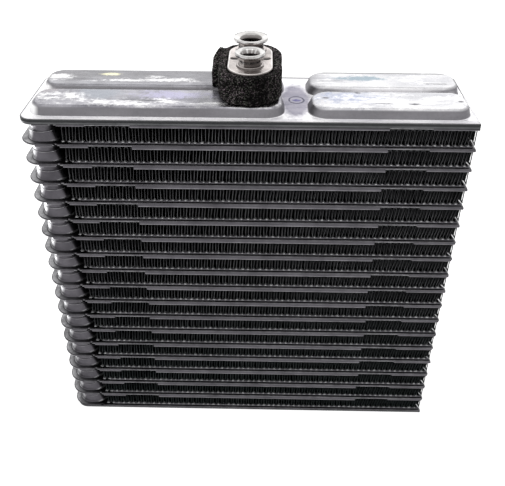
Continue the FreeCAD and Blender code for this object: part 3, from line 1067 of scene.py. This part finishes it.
# %% [markdown]
# ## Fitting block and pipe stubs
# The block is milled from bar: round ends, a broken edge, a raised collar round each pipe and two
# threaded screw holes, with a painted highlight on the broken edge and painted shade in the threads.
# Each stub is a profile spun round the pipe's axis: a neck, and a mouth flared into a lip. Marks on
# some of its points paint light and shade: a highlight down the neck, a brighter lip and bore, and a
# dark outline on the lip at the rear.

# %% Fitting block
block_radius = 12.6
block_front, block_rear = -8.6, 14.5
block_edge = 0.8
inlet_collar, outlet_collar = 7.6, 8.9
screw_x, screw_y, screw_radius, screw_depth = 9.0, 3.5, 2.1, 12.0
thread_count, thread_pitch, thread_depth = 12, 0.8, 0.3


def stadium(radius, steps=24):
    """Outline of the block: two half circles about its end centres."""
    return (arc(port_x, block_front, radius, 180, 360, steps)
            + arc(port_x, block_rear, radius, 0, 180, steps))


def screw_hole(skin, x):
    """A threaded hole that runs down to a point. Returns its mouth."""
    hole = [(screw_radius + 0.35, 0.0, 0.0), (screw_radius, 0.35, 0.0)]
    # Painted shade in the threads: marks of -0.6 and -0.9.
    for i in range(thread_count):
        depth = 0.75 + thread_pitch * i
        hole += [(screw_radius - thread_depth, depth, -0.6), (screw_radius, depth + thread_pitch / 2, -0.9)]
    hole.append((0.2, screw_depth, 0.0))
    return skin.pressing([skin.ring(circle(x, screw_y, radius, 24), block_top - depth, wear_and_painted_light)
                          for radius, depth, wear_and_painted_light in hole])


def fitting_block():
    skin = Skin()
    wall = [(0.25, cover_top + 0.01), (0.0, cover_top + 0.25),
            *arc(block_edge, block_top - block_edge, block_edge, 180, 90, 4), (1.1, block_top)]
    # The two marks of 0.7 paint a highlight along the broken edge.
    rings = [skin.ring(stadium(block_radius - inset), z, wear_and_painted_light)
             for (inset, z), wear_and_painted_light in zip(wall, (0.0, 0.0, 0.0, 0.0, 0.0, 0.7, 0.7, 0.0))]
    skin.stack(rings)
    openings = []
    bottoms = []
    for y, pipe, collar in ((inlet_y, inlet_pipe, inlet_collar), (outlet_y, outlet_pipe, outlet_collar)):
        steps = ((collar + 0.35, 0.0), (collar + 0.08, 0.1), (collar, 0.35), (collar, 0.9),
                 (collar - 0.25, 1.15), (pipe + 0.25, 1.2), (pipe + 0.05, 1.0),
                 (pipe + 0.05, cover_top + 0.01 - block_top))
        loops = [skin.ring(circle(port_x, y, radius), block_top + height) for radius, height in steps]
        skin.stack(loops)
        openings.append(loops[0])
        bottoms.append(loops[-1])
    for side in (-1, 1):
        openings.append(screw_hole(skin, port_x + side * screw_x))
    skin.cap(rings[0], *bottoms)
    skin.cap(rings[-1], *openings)
    return as_mesh("block", skin, 30)


set_piece("block", fitting_block(), block_metal, "machined_fitting", "fitting_block")

# %% Pipe stubs
pipe_wall = 1.3
inlet_lip, outlet_lip = 8.3, 10.1
flare_height = 4.2
stub_foot, stub_top = (corner[2] for corner in span("inlet_stub"))
# Numbers of the profile's points, from the bore at the foot, up the outside and down the mouth
neck_points, lip_highlight_points, lip_edge_points = range(2, 7), range(8, 14), range(13, 16)
mouth_from, deepest_from = 20, 25
mouth_streaks = (9, 10, 14, 19, 20, 27)


def stub_profile(pipe, lip):
    """(radius, height) pairs: neck, rolled lip, and a shallow funnel round the bore."""
    bore = pipe - pipe_wall
    flare = [(pipe + (lip - pipe) * 0.9 * (i / 6) ** 1.8, flare_height - 2.4 * (i / 6) ** 0.6)
             for i in range(1, 7)]
    roll = [(lip - inset, depth) for inset, depth in
            ((0.1, 1.55), (0.0, 1.2), (0.0, 0.6), (0.1, 0.25), (0.35, 0.03), (0.7, 0.0), (1.1, 0.1))]
    funnel = [(lip - 1.1 - (lip - 1.1 - bore - 0.5) * (i / 5), 0.1 + 0.75 * (i / 5) ** 1.3)
              for i in range(1, 6)]
    mouth = [(bore - inset, depth) for inset, depth in
             ((-0.35, 1.0), (0.5, 2.3), (0.6, 2.5), (0.6, 3.4), (0.6, 5.0))]
    return [(bore, stub_foot), (pipe, stub_foot), (pipe, block_top + 1.0), (pipe, stub_top - flare_height),
            *((radius, stub_top - depth) for radius, depth in flare + roll + funnel + mouth)]


def pipe_stub(y, pipe, lip):
    """The profile spun about the pipe's axis. Marks on some of its points paint light and shade: a
    highlight down the neck, a brighter lip and bore, and a dark outline on the lip at the rear; the
    inlet's mouth gets a few bright streaks.
    """
    skin = Skin()
    rings = []
    for number, (radius, z) in enumerate(stub_profile(pipe, lip)):
        # Painted highlights on the lip's roll, and painted light deep in the bore.
        mark = 0.6 if number in lip_highlight_points else 0.5 if number >= deepest_from else 0.0
        loop = circle(port_x, y, radius, 64)
        marks = []
        for i, (px, py) in enumerate(loop):
            across, back = (px - port_x) / radius, (py - y) / radius
            if number in neck_points and -0.93 < across < -0.55 and back < 0:
                marks.append(1.0)
            elif number in lip_edge_points and back > 0.25:
                marks.append(-1.0)
            elif number >= mouth_from and i in mouth_streaks and y < 0:
                marks.append(0.5)
            else:
                marks.append(mark)
        rings.append(skin.ring(loop, z, marks))
    skin.stack(rings + rings[:1])
    return skin


for name, y, pipe, lip_radius in (("inlet", inlet_y, inlet_pipe, inlet_lip),
                                  ("outlet", outlet_y, outlet_pipe, outlet_lip)):
    stub = as_mesh(name, pipe_stub(y, pipe, lip_radius), 40)
    set_piece(name + "_pipe", stub, pipe_metal, "machined_fitting", name + "_stub")
print("Triangles in block and stubs:", added["block"], added["inlet_pipe"], added["outlet_pipe"])

# %% [markdown]
# ## Foam seal
# The seal is a strip of open-cell foam, wrapped round the block and lapped on the left. A plain
# wrap is remeshed into even quads, and noise pushes each point in or out: a slow one for the
# hand-wrapped shape and a fine one for the torn cells.

# %% Foam wrap
foam_low, foam_high = span("foam_seal")
foam_wall, foam_margin = 5.2, 0.2
foam_inner = block_radius + foam_margin
foam_base, foam_crest = foam_low[2] + 0.35, foam_high[2] - 0.6
lap_turn, lap_droop = 33, 7.0


def foam_piece():
    """The wrap, and a second layer on the left that droops towards the front, as one even mesh."""
    skin = Skin()
    outside = ((0.6, foam_base), (0.35, foam_low[2] + 0.9), (0.35, foam_high[2] - 1.6), (0.9, foam_crest))
    outer_rings = [skin.ring(stadium(foam_inner + foam_wall - inset, 40), z) for inset, z in outside]
    skin.stack(outer_rings)
    inner_rings = [skin.ring(stadium(foam_inner + 0.2, 40), z) for z in (foam_base, foam_crest)]
    skin.stack(inner_rings)
    for end in (0, -1):
        skin.bridge(outer_rings[end], inner_rings[end])

    near, far = ([(port_x - radius, y) for y in (1.4, 6.0, 10.0)]
                 + arc(port_x, block_rear, radius, 180, 180 - lap_turn, 6)
                 for radius in (foam_inner + foam_wall - 1.2, foam_inner + foam_wall + 4.2 - 0.4))
    runs = [math.dist(a, b) for a, b in zip(far, far[1:])]
    slices = []
    for number, (a, b) in enumerate(zip(near, far)):
        high = foam_crest - lap_droop * (1 - sum(runs[:number]) / sum(runs))
        slices.append(skin.path([(*a, foam_base), (*b, foam_base), (*b, high), (*a, high)]))
    skin.bar(slices)

    wrap = put("wrap", as_mesh("wrap", skin))
    remesh = wrap.modifiers.new("remesh", "REMESH")
    remesh.mode = "VOXEL"
    remesh.voxel_size = 0.55 * MM
    return settled(wrap)


def roughen(mesh):
    """Pushes each point in or out along its normal, and keeps it inside the solid's box."""
    lowest, highest = foam_low * MM, foam_high * MM
    moved = []
    for vertex in mesh.vertices:
        place = Vector(vertex.co)
        slow = noise_field.noise(place * 160) * 0.00035
        cells = noise_field.cell_vector(place * 1400)[0] * 0.00012
        fine = noise_field.noise(place * 1500) * 0.00022
        new = place + vertex.normal * (slow + fine - cells)
        moved += [min(max(new[i], lowest[i]), highest[i]) for i in range(3)]
    mesh.vertices.foreach_set("co", moved)
    mesh.shade_smooth()
    mesh.update()


foam_mesh = foam_piece()
roughen(foam_mesh)
seal = set_piece("seal", foam_mesh, foam_black, "seal_foam", "foam_seal")
print("Triangles in the seal:", added["seal"])

# %% [markdown]
# ## Triangle count
# The triangles of all the pieces, added up. The meshes must stay light enough to share.

# %% Sizes
print("Triangles in all:", sum(added.values()))
